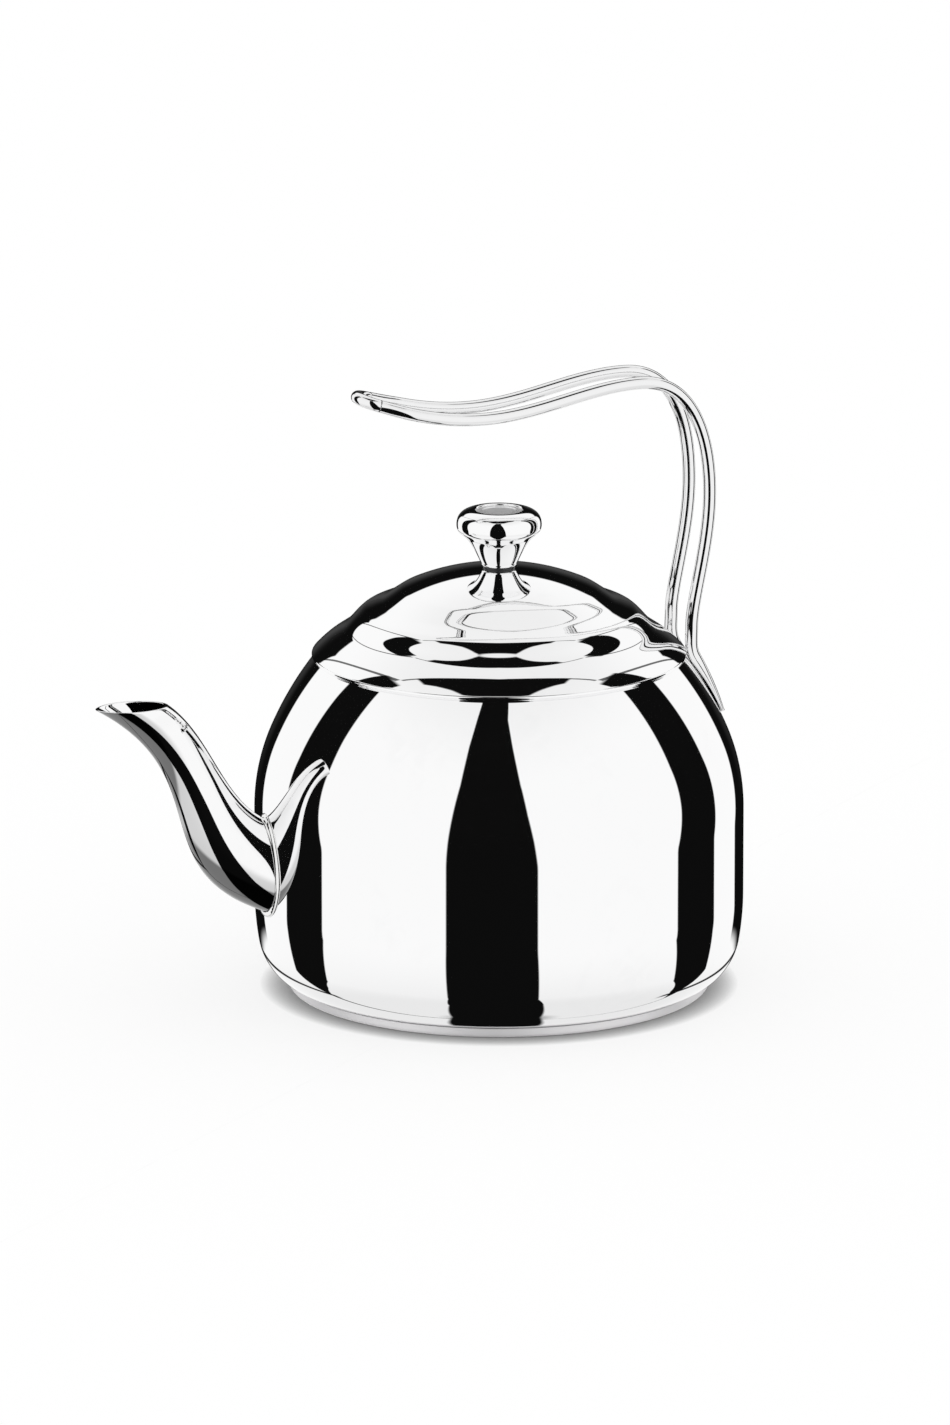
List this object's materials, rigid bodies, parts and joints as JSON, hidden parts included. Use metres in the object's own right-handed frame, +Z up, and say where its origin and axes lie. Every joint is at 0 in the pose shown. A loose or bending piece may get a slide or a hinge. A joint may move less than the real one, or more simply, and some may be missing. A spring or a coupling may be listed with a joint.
{
  "type": "stove-top gooseneck kettle",
  "caption": "Polished steel kettle with a barrel body, S-curved spout, stepped lift-off lid, mushroom knob and a bent-rod handle on two flattened feet.",
  "frame": {"origin": "centre of the base's flat underside, on the kettle's round axis", "axes": "+Z up along the kettle's axis, spout towards -X, handle's feet at +X, mirror plane XZ"},
  "size_m": [0.272, 0.2, 0.2528],
  "materials": {
    "body_steel": "mirror-polished stainless steel",
    "spout_steel": "mirror-polished stainless steel",
    "rod_steel": "polished stainless rod",
    "lid_steel": "mirror-polished stainless steel",
    "knob_steel": "mirror-polished stainless steel",
    "cap_steel": "fine-turned satin disc",
    "base_steel": "polished wall, fine-turned underside",
    "weld_steel": "dressed weld bead",
    "ring_steel": "satin rolled strip",
    "fastener_steel": "plain stainless fastener",
    "core_aluminium": "pressed disc, hidden",
    "spacer": "dark heat-break washer"
  },
  "bodies": {
    "kettle": {"body_shell": "body_steel", "base_core": "core_aluminium", "base_cup": "base_steel", "spout": "spout_steel", "spout_weld": "weld_steel", "handle_rod": "rod_steel"},
    "lid": {"lid_shell": "lid_steel", "lid_ring": "ring_steel", "knob_spacer": "spacer", "knob_head": "knob_steel", "knob_cap": "cap_steel", "knob_screw": "fastener_steel", "knob_washer": "fastener_steel"}
  },
  "joints": [
    {"name": "lid_lift", "type": "slide", "parent": "kettle", "child": "lid", "axis": [0, 0, 1], "range_m": [0, 0.036]}
  ]
}
